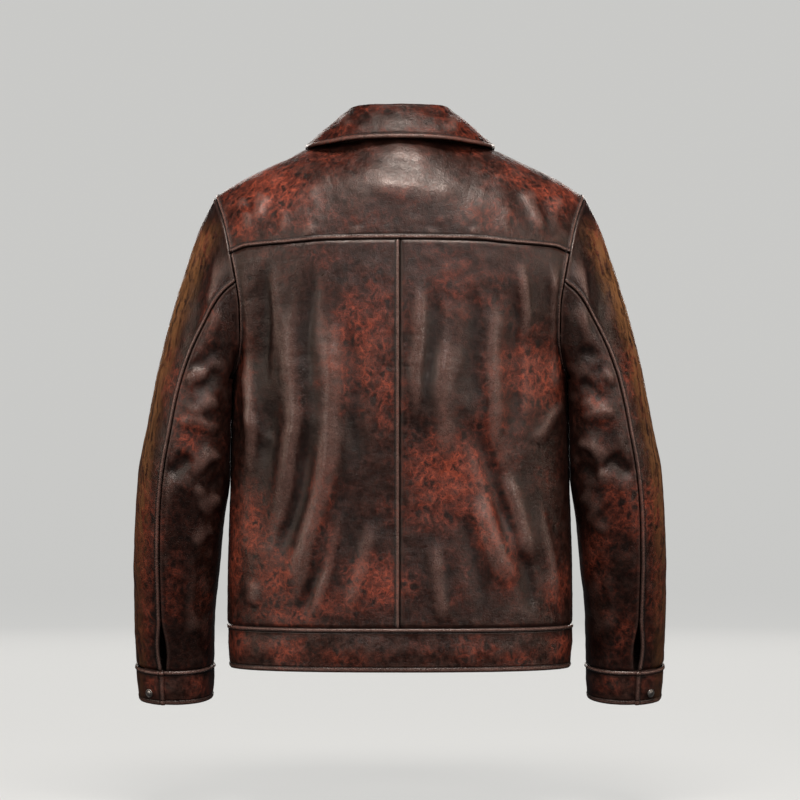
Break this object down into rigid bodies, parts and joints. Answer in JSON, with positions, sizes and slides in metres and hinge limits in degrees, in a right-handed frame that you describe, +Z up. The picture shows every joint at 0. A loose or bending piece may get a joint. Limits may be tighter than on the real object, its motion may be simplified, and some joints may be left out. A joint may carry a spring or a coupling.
{
  "type": "leather jacket",
  "caption": "Worn, waist-length leather jacket with a fold-over collar, back yoke, two-piece sleeves, snapped cuffs and a waistband, filled out with no wearer.",
  "frame": {"origin": "midway between the two points where the neck meets the shoulders, where a wearer's shoulders carry the jacket", "axes": "+X to the wearer's right, +Y to the wearer's front, +Z up"},
  "size_m": [0.6898, 0.2539, 0.7713],
  "materials": {
    "body_leather": "distressed dark brown, red worn patches, semi-gloss on the folds",
    "sleeve_leather": "distressed dark brown, tan rub along the outer edges",
    "collar_leather": "distressed red-brown with darker middle",
    "band_leather": "distressed dark brown, rubbed edges",
    "snap_metal": "dark nickel, worn bright on the rim"
  },
  "bodies": {
    "root": {"yoke": "body_leather", "back_left": "body_leather", "back_right": "body_leather", "front_left": "body_leather", "front_right": "body_leather", "front_placket": "body_leather", "waistband_back": "band_leather", "waistband_front_left": "band_leather", "waistband_front_right": "band_leather", "collar_stand": "collar_leather", "collar": "collar_leather", "sleeve_left_outer": "sleeve_leather", "sleeve_left_under": "sleeve_leather", "sleeve_right_outer": "sleeve_leather", "sleeve_right_under": "sleeve_leather", "cuff_left": "band_leather", "cuff_right": "band_leather", "cuff_snap_left": "snap_metal", "cuff_snap_right": "snap_metal", "placket_snap_1": "snap_metal", "placket_snap_2": "snap_metal", "placket_snap_3": "snap_metal", "placket_snap_4": "snap_metal", "placket_snap_5": "snap_metal", "placket_snap_6": "snap_metal", "placket_snap_7": "snap_metal"}
  },
  "joints": []
}
